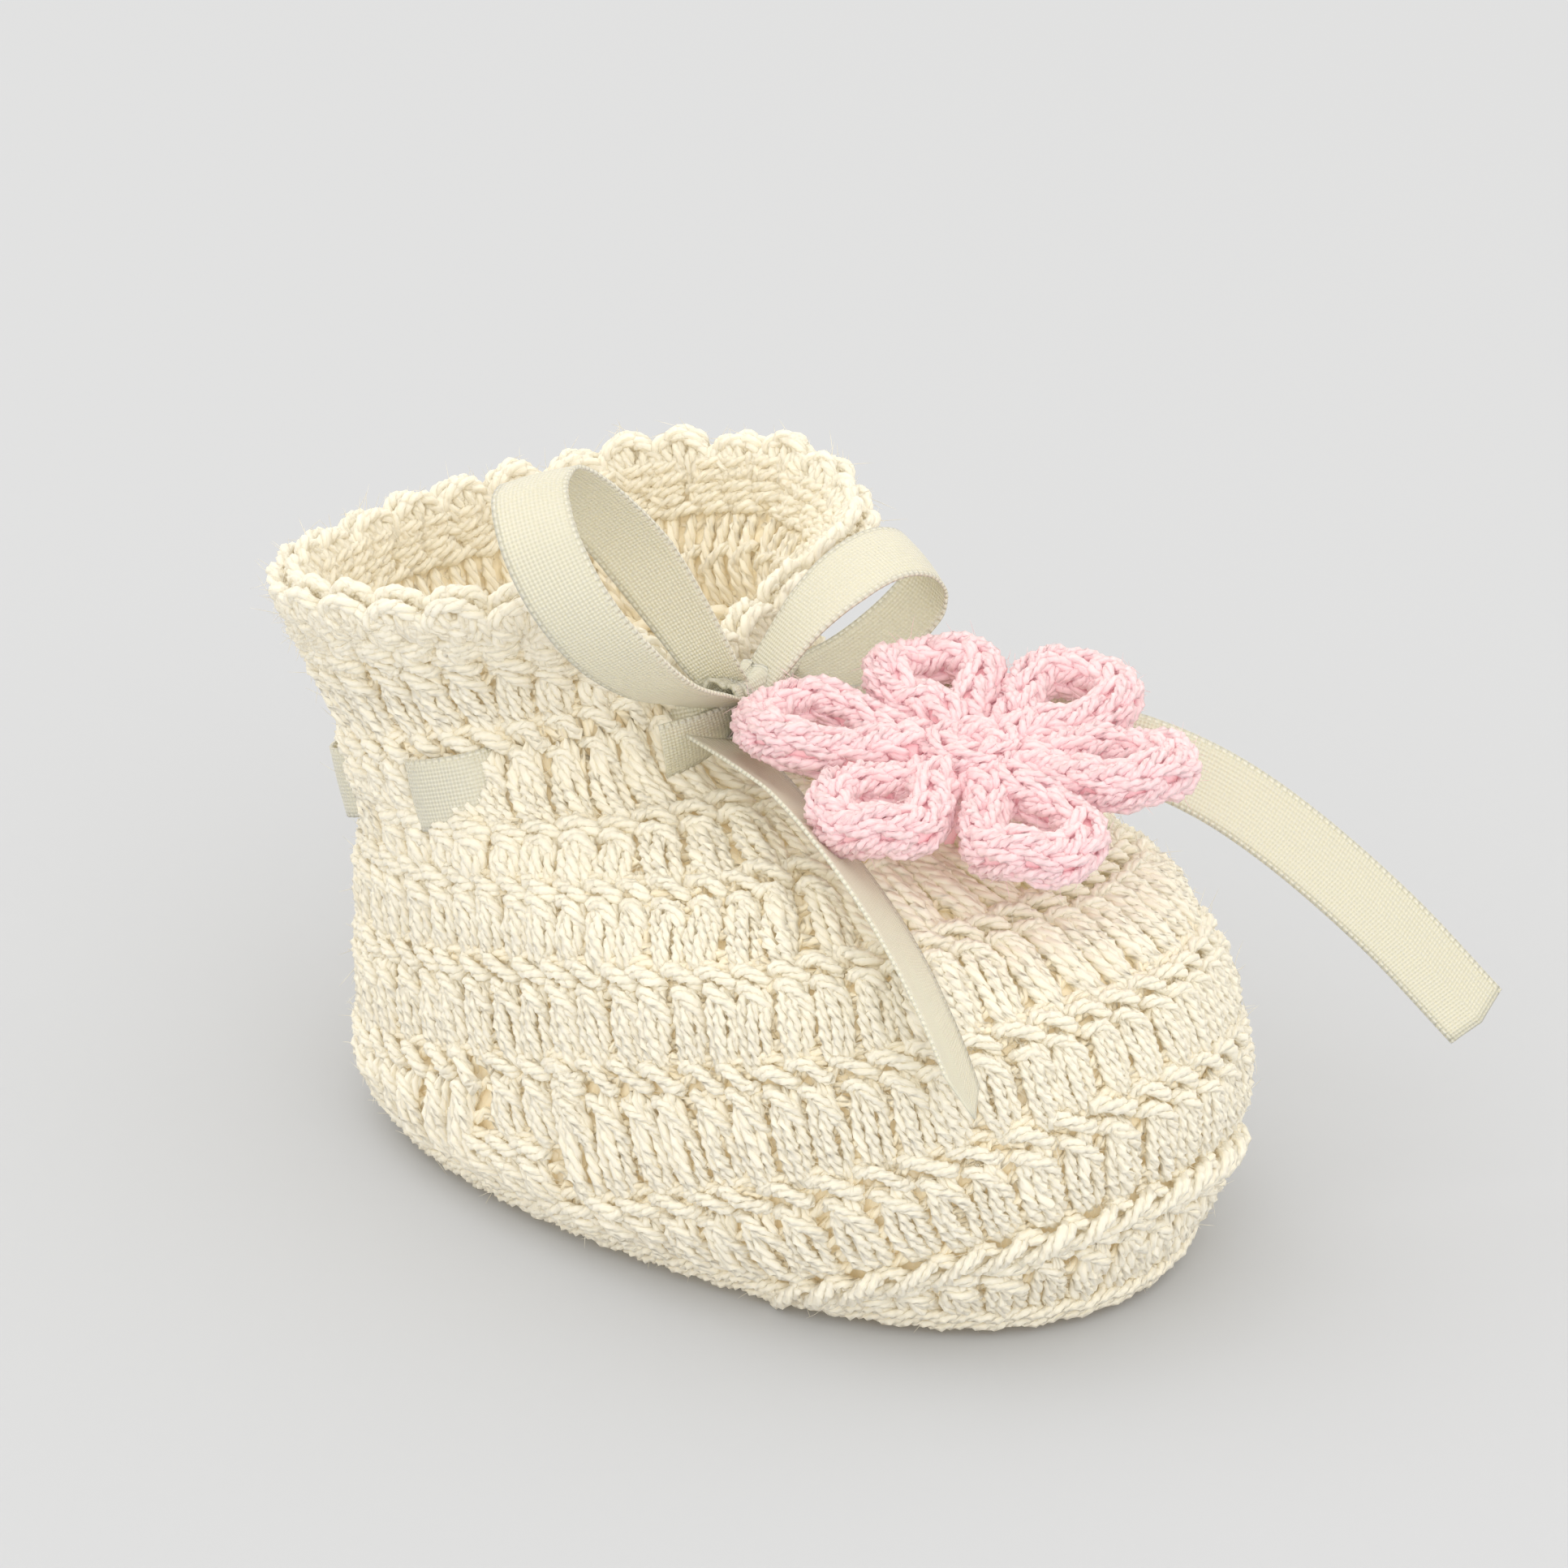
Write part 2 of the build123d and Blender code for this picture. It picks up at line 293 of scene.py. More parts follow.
def yarn_material(name, light, mid, dark, glow):
    """Matt cotton: twisted fibre relief, with painted shade that makes it darker and warmer in its
    creases and on deeper strands, and a painted glow.
    """
    mat, nt, bsdf = new_material(name)
    around, run = yarn_places(nt)
    turn = maths(nt, "MULTIPLY", around, 3.0)
    along = maths(nt, "MULTIPLY", run, 0.30)
    phase = maths(nt, "ADD", turn, along)
    lobe = maths(nt, "SINE", maths(nt, "MULTIPLY", maths(nt, "FRACT", phase), math.pi))
    lobe = maths(nt, "POWER", lobe, 0.6)
    fibre_at = nt.nodes.new("ShaderNodeCombineXYZ")
    nt.links.new(maths(nt, "MULTIPLY", phase, 6.0), fibre_at.inputs[0])
    nt.links.new(maths(nt, "MULTIPLY", run, 0.9), fibre_at.inputs[1])
    fibre = nt.nodes.new("ShaderNodeTexNoise")
    fibre.inputs["Scale"].default_value = 1.0
    fibre.inputs["Detail"].default_value = 4.0
    fibre.inputs["Roughness"].default_value = 0.65
    nt.links.new(fibre_at.outputs[0], fibre.inputs["Vector"])
    height = maths(nt, "ADD", maths(nt, "MULTIPLY", lobe, 0.75), fibre.outputs["Fac"])
    relief(nt, bsdf, height, strength=0.45, distance=0.00013)
    # reads the per-vertex painted shade of each strand
    painted_shade = nt.nodes.new("ShaderNodeAttribute")
    painted_shade.attribute_name = "painted_shade"
    # painted shade: the colour darkens and warms in the grooves between the plies
    crease_shade = maths(nt, "MULTIPLY", maths(nt, "SUBTRACT", 1.0, lobe), 0.16)
    streak = maths(nt, "MULTIPLY", maths(nt, "SUBTRACT", 0.55, fibre.outputs["Fac"]), 0.3)
    tone = maths(nt, "ADD", painted_shade.outputs["Fac"], maths(nt, "ADD", crease_shade, streak))
    # the ramp's dark stop is the painted shade colour of creases and deeper strands
    stops = tint(nt, bsdf, tone, light, dark)
    stops.new(0.45).color = (*mid, 1)
    bsdf.inputs["Roughness"].default_value = 0.8
    bsdf.inputs["Specular IOR Level"].default_value = 0.2
    bsdf.inputs["Sheen Weight"].default_value = 0.15
    bsdf.inputs["Sheen Roughness"].default_value = 0.5
    bsdf.inputs["Subsurface Weight"].default_value = 0.25
    bsdf.inputs["Subsurface Radius"].default_value = (1.0, 0.86, 0.70)
    bsdf.inputs["Subsurface Scale"].default_value = 0.0010
    # the glow stands for light scattered between the fibres
    bsdf.inputs["Emission Color"].default_value = (*glow, 1)
    bsdf.inputs["Emission Strength"].default_value = 0.105
    return mat


def satin_material(name):
    """Woven satin ribbon with a corded selvedge."""
    mat, nt, bsdf = new_material(name)
    share, run = yarn_places(nt)
    across = maths(nt, "MULTIPLY", share, 9.0)
    along = maths(nt, "MULTIPLY", run, 1.5)
    up = maths(nt, "SINE", maths(nt, "MULTIPLY", maths(nt, "ADD", across, along), TAU))
    down = maths(nt, "SINE", maths(nt, "MULTIPLY", maths(nt, "SUBTRACT", across, along), TAU))
    cloth = maths(nt, "MULTIPLY", up, down)
    edge = maths(nt, "ABSOLUTE", maths(nt, "SUBTRACT", share, 0.5))
    hem = maths(nt, "GREATER_THAN", edge, 0.445)
    rib = maths(nt, "SINE", maths(nt, "MULTIPLY", run, TAU * 1.5))
    lace = maths(nt, "MULTIPLY", hem, maths(nt, "ADD", rib, 1.4))
    height = maths(nt, "ADD", maths(nt, "MULTIPLY", cloth, 0.8), lace)
    relief(nt, bsdf, height, strength=0.8, distance=0.00008)
    tone = maths(nt, "ADD", maths(nt, "MULTIPLY", cloth, 0.20), 0.62)
    tone = maths(nt, "ADD", tone, maths(nt, "MULTIPLY", lace, 0.16))
    tint(nt, bsdf, tone, (0.60, 0.57, 0.42), (0.76, 0.74, 0.63))
    bsdf.inputs["Roughness"].default_value = 0.28
    bsdf.inputs["Specular IOR Level"].default_value = 0.9
    bsdf.inputs["Sheen Weight"].default_value = 0.2
    bsdf.inputs["Subsurface Weight"].default_value = 0.3
    bsdf.inputs["Subsurface Radius"].default_value = (1.0, 0.9, 0.6)
    bsdf.inputs["Subsurface Scale"].default_value = 0.001
    return mat


# each yarn's dark stop is its painted shade colour, for creases and deeper strands
CREAM = yarn_material(
    "cream_yarn",
    light=(0.865, 0.845, 0.750), mid=(0.900, 0.815, 0.625), dark=(0.93, 0.73, 0.47),
    glow=(1.0, 0.78, 0.47),
)
PINK = yarn_material(
    "pink_yarn",
    light=(0.925, 0.700, 0.735), mid=(0.925, 0.555, 0.605), dark=(0.91, 0.39, 0.45),
    glow=(1.0, 0.52, 0.54),
)
SATIN = satin_material("satin_ribbon")


def place(obj, body, slot, *nodes):
    """Puts a piece on its body in place of its nodes, which it hides; a blended piece has no body
    here. The slot is not used.
    """
    if body:
        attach(obj, body)
    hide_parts(*nodes)


# ---------------------------------------------------------------- ribbon strips
RIBBON_WIDTH = 6.5
TAIL_POINTS = 90
LOOP_POINTS = 120


def strip(pile, line, across, width=RIBBON_WIDTH, thick=0.22, cup=0.0, point=0.0, lanes=9):
    """A flat ribbon along line (N, 3) in mm, with across (N, 3) its width direction."""
    line = np.asarray(line, float)
    across = unit(np.asarray(across, float))
    n = len(line)
    tangent = unit(np.gradient(line, axis=0))
    face = unit(np.cross(tangent, across))
    across = unit(np.cross(face, tangent))
    f = np.linspace(-0.5, 0.5, lanes)
    hem = np.where(np.abs(f) > 0.42, 1.35, 1.0)
    wide = np.broadcast_to(np.asarray(width, float).reshape(-1, 1), (n, 1))
    offs = across[:, None] * (f[None, :] * wide)[:, :, None]
    curl = face[:, None] * (cup * (4 * f ** 2))[None, :, None]
    mid = line[:, None] + offs + curl
    if point:
        mid = mid + tangent[:, None] * (
            -point * 2 * np.abs(f)[None, :, None]
            * np.clip((np.arange(n) - n * 0.55) / (n * 0.45), 0, 1)[:, None, None]
        )
    lift = face[:, None] * (hem * thick / 2)[None, :, None]
    top = mid + lift
    low = mid - lift
    co = np.concatenate([top, low[:, ::-1]], 1)
    sides = 2 * lanes
    run = np.concatenate([[0], np.cumsum(np.linalg.norm(np.diff(line, axis=0), axis=1))])
    i = np.arange(n - 1)[:, None]
    j = np.arange(sides)[None, :]
    j2 = (j + 1) % sides
    faces = np.stack(
        [i * sides + j, (i + 1) * sides + j, (i + 1) * sides + j2, i * sides + j2], -1
    ).reshape(-1, 4)
    u = np.concatenate([f + 0.5, (f + 0.5)[::-1]])
    ua = np.broadcast_to(u[None, :], (n - 1, sides))
    ub = np.broadcast_to(np.roll(u, -1)[None, :], (n - 1, sides))
    va = np.broadcast_to(run[:-1, None], (n - 1, sides))
    vb = np.broadcast_to(run[1:, None], (n - 1, sides))
    uv = np.stack([ua, va, ua, vb, ub, vb, ub, va], -1).reshape(-1, 2)
    caps = []
    cap_uv = []
    for row, flip in ((0, False), (n - 1, True)):
        for k in range(lanes - 1):
            quad = [k, k + 1, sides - 2 - k, sides - 1 - k]
            if flip:
                quad = quad[::-1]
            caps.append([row * sides + q for q in quad])
            cap_uv += [(0.5, 0.0)] * 4
    faces = np.concatenate([faces, np.array(caps)])
    uv = np.concatenate([uv, np.array(cap_uv, float)])
    pile.add(co.reshape(-1, 3) * MM, faces, uv, np.zeros(n * sides))


def shifted(points):
    p = np.array(points, float)
    p[..., 1] += Y_SHIFT
    return p


def tail(name, start, heading, drops, twist, point):
    """A loose ribbon end as a flat cord along its route."""
    a = math.radians(heading)
    ctrl = shifted([
        (start[0] + s * math.cos(a), start[1] + s * math.sin(a), z) for s, z in drops
    ])
    line = smooth(ctrl, TAIL_POINTS)
    flat = np.array((-math.sin(a), math.cos(a), 0))
    tangent = unit(np.gradient(line, axis=0))
    normal = unit(np.cross(tangent, flat))
    share = np.linspace(0, 1, TAIL_POINTS)
    turn = np.radians(np.interp(share, [0, 0.25, 0.7, 1], twist))[:, None]
    across = flat * np.cos(turn) + normal * np.sin(turn)
    pile = Pile()
    strip(pile, line, across, point=point, cup=0.12)
    obj = pile.mesh(name + "_satin", SATIN)
    place(obj, "bootie", "satin_ribbon", name)


tail(
    "ribbon_tail_left", (-0.3, 3.2), -48.8,
    [(0, 40.2), (8, 40.6), (17, 40.7), (26, 39.4),
     (35, 36.4), (43, 31.4), (52.5, 23.0), (61.3, 13.4)],
    [10, 45, 58, 62], 0.8,
)
tail(
    "ribbon_tail_right", (-7.0, 2.8), -108.2,
    [(0, 40.4), (9, 40.2), (18, 39.4), (27, 37.2), (34, 34.3), (40, 30.4), (45.8, 25.4)],
    [-15, -36, -40, -44], 3.4,
)

# ---------------------------------------------------------------- shape of the bootie
# toe y, heel y, toe radius, heel radius, then the height at the toe and at the heel, in mm
SECTIONS = np.array([
    (-38.0, 41.6, 18.1, 23.5, 0.0, 0.0),
    (-41.3, 44.9, 23.0, 26.6, 6.0, 4.6),
    (-43.4, 45.6, 24.9, 25.0, 15.0, 11.0),
    (-40.7, 46.4, 24.3, 23.0, 25.0, 17.0),
    (-32.2, 46.7, 23.0, 21.5, 32.0, 21.6),
    (-12.0, 46.9, 20.5, 20.0, 36.0, 25.4),
    (5.0, 46.8, 19.2, 19.8, 38.0, 29.0),
    (9.0, 47.6, 19.4, 20.5, 44.5, 34.0),
    (6.4, 50.2, 21.8, 22.6, 50.4, 40.8),
    (2.0, 51.4, 24.0, 23.9, 57.0, 45.8),
])
SOFTNESS = 0.22         # how softly the toe and heel curves run together
TOE_STATION = -40       # y of the toe heights below
HEEL_STATION = 30       # y of the heel heights below
# each round's top: its height at the toe station and the heel station, and its dip at the front
ROUND_TOPS = [
    ("sole", 9.2, -21.0, 0),
    ("sole_ridge", 11.2, -20.0, 0),
    ("wall_round_1", 20.8, -8.0, 0),
    ("wall_round_2", 29.3, 9.0, 0),
    ("wall_round_3", 37.0, 17.8, 0),
    ("instep_round", 42.0, 25.4, 0),
    ("eyelet_round", 58.2, 36.2, 0),
    ("cuff_round", 60.0, 45.2, 6.6),
    ("cuff_top_round", 61.8, 47.2, 9.2),
    ("scallop_edging", 64.2, 49.6, 11.4),
]
ROUND = {name: i for i, (name, *_) in enumerate(ROUND_TOPS)}
DIP_X = -2.5
DIP_WIDTHS = (19.0, 13.0)   # towards +X and towards -X
COLUMNS = 720
LEVELS = 260
STEPS = 14              # grid rows per round
# where the soft cuff sags: x, y, spread and how far it moves
SAGS = [
    (-20.0, 44.0, 16.0, (-1.6, 1.0, -4.2)),
    (23.0, 12.0, 14.0, (0.6, -1.2, -4.6)),
    (8.0, 53.0, 12.0, (0.0, -2.6, -0.4)),
]


def outline(sec, count):
    """Smooth egg outline in mm, evenly spaced, toe first, towards +X."""
    toe_y, heel_y, toe_r, heel_r = sec[:4]
    a = np.linspace(0, TAU, 721)
    toe_c = toe_y + toe_r
    heel_c = heel_y - heel_r
    reach_toe = toe_r - toe_c * np.cos(a)
    reach_heel = heel_r - heel_c * np.cos(a)
    w = 1 / (1 + np.exp(SOFTNESS * (reach_heel - reach_toe)))
    top = np.maximum(reach_toe, reach_heel)
    low = np.minimum(reach_toe, reach_heel)
    reach = top + np.log(1 + np.exp(SOFTNESS * (low - top))) / SOFTNESS
    slope = np.sin(a) * (w * toe_c + (1 - w) * heel_c)
    x = reach * np.sin(a) + slope * np.cos(a)
    y = -reach * np.cos(a) + slope * np.sin(a)
    y = toe_y + (y - y.min()) * (heel_y - toe_y) / (y.max() - y.min())
    run = np.concatenate([[0], np.cumsum(np.hypot(np.diff(x), np.diff(y)))])
    want = np.linspace(0, run[-1], count, endpoint=False)
    return np.interp(want, run, x), np.interp(want, run, y)


def run_to_plane(over, run):
    """For each column, the run in mm at which the skin first rises over a plane."""
    high = run[:, -1].copy()
    for c in range(COLUMNS):
        hits = np.nonzero(over[c] > 0)[0]
        if len(hits) and hits[0] == 0:
            high[c] = 0
        elif len(hits):
            k = hits[0]
            f = over[c, k - 1] / (over[c, k - 1] - over[c, k])
            high[c] = run[c, k - 1] + f * (run[c, k] - run[c, k - 1])
    return high


def build_grid():
    """Positions (COLUMNS, rounds * STEPS + 1, 3) in mm: q runs from round to round."""
    table = smooth(SECTIONS[None, :, :3], LEVELS)[0]
    table = np.concatenate([table, smooth(SECTIONS[None, :, 3:], LEVELS)[0]], 1)
    skin = np.zeros((COLUMNS, LEVELS, 3))
    for k, sec in enumerate(table):
        x, y = outline(sec, COLUMNS)
        z = sec[4] + (sec[5] - sec[4]) * (y - sec[0]) / (sec[1] - sec[0])
        skin[:, k] = np.stack([x, y, np.maximum(z, 0)], 1)
    run = np.concatenate([
        np.zeros((COLUMNS, 1)),
        np.cumsum(np.linalg.norm(np.diff(skin, axis=1), axis=2), 1),
    ], 1)
    grid = np.zeros((COLUMNS, len(ROUND_TOPS) * STEPS + 1, 3))
    low = np.zeros(COLUMNS)
    for r, (_, z_toe, z_heel, dip) in enumerate(ROUND_TOPS):
        slope = (z_heel - z_toe) * (skin[:, :, 1] - TOE_STATION) / (HEEL_STATION - TOE_STATION)
        aside = skin[:, :, 0] - DIP_X
        width = np.where(aside > 0, *DIP_WIDTHS)
        front = np.exp(-(aside / width) ** 2) * (skin[:, :, 1] < 25)
        over = skin[:, :, 2] - (z_toe + slope - dip * front)
        high = np.maximum(run_to_plane(over, run), low)
        for s in range(STEPS + (r == len(ROUND_TOPS) - 1)):
            want = low + (high - low) * s / STEPS
            for axis in range(3):
                grid[:, r * STEPS + s, axis] = [
                    np.interp(want[c], run[c], skin[c, :, axis]) for c in range(COLUMNS)
                ]
        low = high
    for x, y, spread, move in SAGS:
        away = (grid[:, :, 0] - x) ** 2 + (grid[:, :, 1] - y) ** 2
        high_up = np.clip((grid[:, :, 2] - 40) / 16, 0, 1) ** 1.5
        grid = grid + (np.exp(-away / spread ** 2) * high_up)[:, :, None] * np.array(move)
    return grid


def skin_normals(grid):
    """Outward normals of the grid, smoothed so that neighbouring stitches stand alike."""
    du = np.roll(grid, -3, 0) - np.roll(grid, 3, 0)
    dq = np.gradient(grid, axis=1)
    dq[np.linalg.norm(dq, axis=2) < 0.05] = (0, 0, 1)
    normal = unit(np.cross(du, dq))
    for _ in range(6):
        normal = unit(
            normal * 2 + np.roll(normal, 1, 0) + np.roll(normal, -1, 0)
            + np.concatenate([normal[:, 1:], normal[:, -1:]], 1)
            + np.concatenate([normal[:, :1], normal[:, :-1]], 1)
        )
    return normal


GRID = build_grid()
NORMAL = skin_normals(GRID)


def on_skin(u, q, d):
    """Points and normals at column fraction u, round coordinate q, depth d in mm."""
    fu = (u % 1.0) * COLUMNS
    fq = np.clip(q, 0, len(ROUND_TOPS) - 1e-6) * STEPS
    i = fu.astype(int) % COLUMNS
    j = np.minimum(fq.astype(int), GRID.shape[1] - 2)
    a = (fu - np.floor(fu))[..., None]
    b = (fq - j)[..., None]
    i2 = (i + 1) % COLUMNS

    def blend(g):
        return (
            (g[i, j] * (1 - a) + g[i2, j] * a) * (1 - b)
            + (g[i, j + 1] * (1 - a) + g[i2, j + 1] * a) * b
        )

    n = unit(blend(NORMAL))
    return blend(GRID) + n * np.asarray(d)[..., None], n


def girth(q):
    ring, _ = on_skin(np.arange(COLUMNS) / COLUMNS, np.full(COLUMNS, float(q)), np.zeros(COLUMNS))
    return np.linalg.norm(np.roll(ring, -1, 0) - ring, axis=1).sum()


# A pattern's strands: control points, radius and the painted shade its colour gets, more for strands
# that lie deeper. A point is across the stitch and up the round as shares of them, then outwards in
# mm before RELIEF.
OUTSIDE = [
    ([(-0.04, -0.08, -0.5), (-0.20, 0.12, 0.5), (-0.29, 0.36, 1.0),
      (-0.24, 0.60, 1.05), (-0.04, 0.84, 0.8)], 0.68, 0.0),
    ([(0.10, -0.08, -0.4), (0.05, 0.14, 0.9), (0.00, 0.38, 1.5),
      (0.03, 0.62, 1.4), (0.16, 0.88, 0.6)], 0.70, 0.0),
    ([(0.20, -0.06, -0.5), (0.29, 0.16, 0.5), (0.31, 0.38, 0.95),
      (0.31, 0.60, 0.9), (0.28, 0.86, 0.3)], 0.66, 0.04),
    ([(-0.44, 0.78, 0.0), (-0.22, 0.80, 1.15), (0.06, 0.74, 1.85),
      (0.30, 0.60, 1.4), (0.40, 0.44, 0.2)], 0.66, 0.0),
    ([(-0.58, 1.00, -0.1), (-0.30, 1.03, 1.0), (0.06, 0.97, 1.6),
      (0.38, 0.88, 1.15), (0.54, 0.86, 0.0)], 0.70, 0.0),
    ([(-0.55, 1.06, -0.6), (-0.20, 1.09, 0.3), (0.22, 1.08, 0.3), (0.56, 1.04, -0.6)], 0.62, 0.16),
]
INSIDE = [
    ([(-0.30, 0.97, -0.9), (-0.14, 0.66, -1.6),
      (-0.12, 0.34, -1.6), (-0.28, 0.02, -0.9)], 0.64, 0.16),
    ([(0.22, 0.97, -0.9), (0.30, 0.66, -1.6), (0.20, 0.34, -1.6), (0.10, 0.02, -0.9)], 0.64, 0.16),
    ([(-0.52, 0.60, -1.0), (-0.12, 0.52, -2.0),
      (0.28, 0.40, -1.9), (0.52, 0.34, -1.0)], 0.62, 0.12),
    ([(-0.56, 0.98, -0.9), (-0.18, 1.03, -1.9),
      (0.24, 0.97, -1.9), (0.56, 0.98, -0.9)], 0.64, 0.12),
]
TIER = 9.4              # height of one stitch; taller places get a second one
RELIEF = 0.62
SKIN_DEPTH = 1.30       # how far the patterns' zero lies under the skin


def stitch_round(name, patterns, count, lean=0.0, segments=11, sides=0, least=2.2, flat=0.86):
    """Works one crochet round onto the skin, in plied yarn or in strands of so many sides.

    Stitches lower than least mm are left out."""
    r = float(ROUND[name])
    pile = Pile()
    base = np.arange(count) + rng.uniform(0, 1)
    foot, _ = on_skin(base / count, np.full(count, r), np.zeros(count))
    head, _ = on_skin(base / count, np.full(count, r + 0.999), np.zeros(count))
    tall = np.linalg.norm(head - foot, axis=1)
    tiers = np.clip(np.round(tall / TIER), 1, 3)
    for tier in range(3):
        here = (tiers > tier) & (tall / tiers > least)
        if not here.any():
            continue
        b = base[here] + (0.5 * tier)
        share = 1 / tiers[here]
        start = r + tier * share
        m = len(b)
        zero = np.zeros(m)
        foot, _ = on_skin(b / count, start, zero)
        head, _ = on_skin(b / count, start + share * 0.999, zero)
        ahead, _ = on_skin((b + 0.5) / count, start + share * 0.5, zero)
        behind, _ = on_skin((b - 0.5) / count, start + share * 0.5, zero)
        step = ahead - behind
        pitch = np.maximum(np.linalg.norm(step, axis=1), 0.5)
        shear = ((head - foot) * step).sum(1) / pitch ** 2
        shear = np.clip(shear, -4, 4)[:, None]
        # a hand-worked stitch strays a little, leans a little and stands out a little
        shift = rng.normal(0, 0.05, (m, 1))
        tip = rng.normal(0, 0.07, (m, 1))
        puff = rng.normal(0, 0.16, (m, 1))
        thick = rng.uniform(0.90, 1.10, (m, 1))
        for ctrl, radius, painted_shade in patterns:
            c = np.array(ctrl)
            up = c[None, :, 1]
            a = c[None, :, 0] + shift + (tip + lean - shear) * (up - 0.5)
            a = a + rng.normal(0, 0.035, a.shape)
            h = up + rng.normal(0, 0.016, a.shape)
            d = c[None, :, 2] + puff * (c[None, :, 2] > 0)
            d = RELIEF * (d + rng.normal(0, 0.09, a.shape)) - SKIN_DEPTH
            pos, nor = on_skin((b[:, None] + a) / count, start[:, None] + share[:, None] * h, d)
            line = smooth(pos, segments)
            out = unit(smooth(nor, segments))
            size = radius * thick * rng.uniform(0.93, 1.07, (m, 1))
            if sides:
                strands(pile, shifted(line), out, size, painted_shade, sides, flat)
            else:
                plied(pile, shifted(line), out, size, painted_shade, flat=flat)
    return pile


def backing(pile, name, depth, painted_shade, steps=14):
    """A soft inner layer of yarn that closes the gaps between stitches; its warmer colour is painted
    shade.
    """
    columns = 360
    r = ROUND[name]
    u = np.arange(columns) / columns
    q = np.linspace(r + 0.002, r + 0.998, steps)
    uu, qq = np.meshgrid(u, q, indexing="ij")
    d = depth + 0.35 * np.sin(uu * TAU * 60) * np.cos(qq * TAU * 3)
    pos, _ = on_skin(uu, qq, d)
    co = shifted(pos).reshape(-1, 3)
    i = np.arange(columns)[:, None]
    j = np.arange(steps - 1)[None, :]
    i2 = (i + 1) % columns
    faces = np.stack(
        [i * steps + j, i2 * steps + j, i2 * steps + j + 1, i * steps + j + 1], -1
    ).reshape(-1, 4)
    k = len(faces)
    uv = np.tile(np.array([(0.0, 0.0), (0.3, 0.0), (0.3, 0.6), (0.0, 0.6)]), (k, 1))
    pile.add(co * MM, faces, uv, np.full(len(co), painted_shade))


def merge(pile, other):
    """Adds another pile's strands, but none of its places for loose fibres."""
    for co, faces, uv, painted_shade in zip(other.co, other.faces, other.uv, other.painted_shade):
        pile.add(co, faces - faces.min(), uv, painted_shade)


def filler(pile, name):
    """Yarn running round behind the posts, so no gap shows bare cloth."""
    r = ROUND[name]
    u = np.arange(300) / 300
    for share in (0.08, 0.26, 0.44, 0.62, 0.80, 0.96):
        wave = 0.05 * np.sin(u * TAU * 61 + share * 9) + 0.02 * np.sin(u * TAU * 23)
        depth = -1.35 + 0.22 * np.sin(u * TAU * 47 + share * 20)
        pos, nor = on_skin(u, r + share + wave, depth)
        # the filler yarn's colour gets painted shade
        plied(pile, shifted(pos)[None], nor[None], 0.62, 0.30, sides=4, flat=1.0, closed=True)


def wall(name, lean, pitch=3.7):
    """One upright round: posts outside, the stitches' backs inside; pitch is mm per stitch."""
    r = ROUND[name]
    count = int(round(girth(r + 0.5) / pitch))
    pile = stitch_round(name, OUTSIDE, count, lean, least=1.1)
    hidden = r < ROUND["cuff_round"]
    inner = stitch_round(
        name, INSIDE, count, lean + 0.25, segments=9,
        sides=7 if hidden else 0, least=2.2 if hidden else 1.0,
    )
    merge(pile, inner)
    backing(pile, name, -1.75, 0.4)
    filler(pile, name)
    fuzz(pile, 0.5)
    obj = pile.mesh(name + "_crochet", CREAM)
    place(obj, "bootie", "cream_yarn", name)


wall("wall_round_1", -0.10)
wall("wall_round_2", -0.10)
wall("wall_round_3", -0.12)
wall("instep_round", -0.12)
wall("eyelet_round", -0.08)
wall("cuff_round", -0.10)
wall("cuff_top_round", -0.05, pitch=3.9)


def grown(sec, by):
    """A section's outline moved outwards by some mm."""
    return sec + np.array([-by, by, by, by, 0, 0])


def plate(pile, z, inset, painted_shade, up):
    """Flat oval of sole stitches, worked in rounds out from the middle line."""
    columns, rings = 240, 26
    x, y = outline(grown(SECTIONS[0], -inset), columns)
    s = np.linspace(0.0, 1.0, rings)
    mid_y = np.clip(y, -16, 25)
    px = x[:, None] * s
    py = mid_y[:, None] + (y - mid_y)[:, None] * s
    rounds = np.abs(np.sin(s * math.pi * 4))[None, :]
    stitches = np.abs(np.cos(np.arange(columns) * 0.9))[:, None]
    bump = 0.35 * rounds * stitches
    pz = np.full_like(px, z) + (bump if up else -bump + 0.35)
    co = shifted(np.stack([px, py, pz], -1)).reshape(-1, 3)
    i = np.arange(columns)[:, None]
    j = np.arange(rings - 1)[None, :]
    i2 = (i + 1) % columns
    faces = np.stack([i * rings + j, i * rings + j + 1, i2 * rings + j + 1, i2 * rings + j], -1)
    faces = faces.reshape(-1, 4)
    if not up:
        faces = faces[:, ::-1]
    uv = np.tile(np.array([(0.0, 0.0), (0.3, 0.0), (0.3, 0.6), (0.0, 0.6)]), (len(faces), 1))
    pile.add(co * MM, faces, uv, np.full(len(co), painted_shade))


def sole():
    """The turned-up edge of the sole, two base rounds and the plates above and below."""
    points = 300
    count = int(round(girth(ROUND["sole"] + 0.5) / 3.5))
    pile = stitch_round("sole", OUTSIDE, count, -0.1, least=0.9)
    backing(pile, "sole", -2.3, 0.2)
    filler(pile, "sole")
    fuzz(pile, 0.4)
    # the base rounds get a little painted shade
    for grow, z in ((0.2, 0.75), (1.1, 1.9)):
        x, y = outline(grown(SECTIONS[0], grow), points)
        ring = np.stack([x, y, z + 0.15 * np.sin(np.arange(points) * TAU / points * 53)], 1)
        rise = np.tile([0.0, 0.0, 1.0], (points, 1))
        plied(pile, shifted(ring)[None], rise[None], 0.72, 0.05, closed=True)
    # the inner plate's colour gets painted shade, the outer plate none
    plate(pile, 0.1, 1.8, 0.0, up=False)
    plate(pile, 2.6, 0.4, 0.3, up=True)
    obj = pile.mesh("sole_crochet", CREAM)
    place(obj, "bootie", "cream_yarn", "sole")


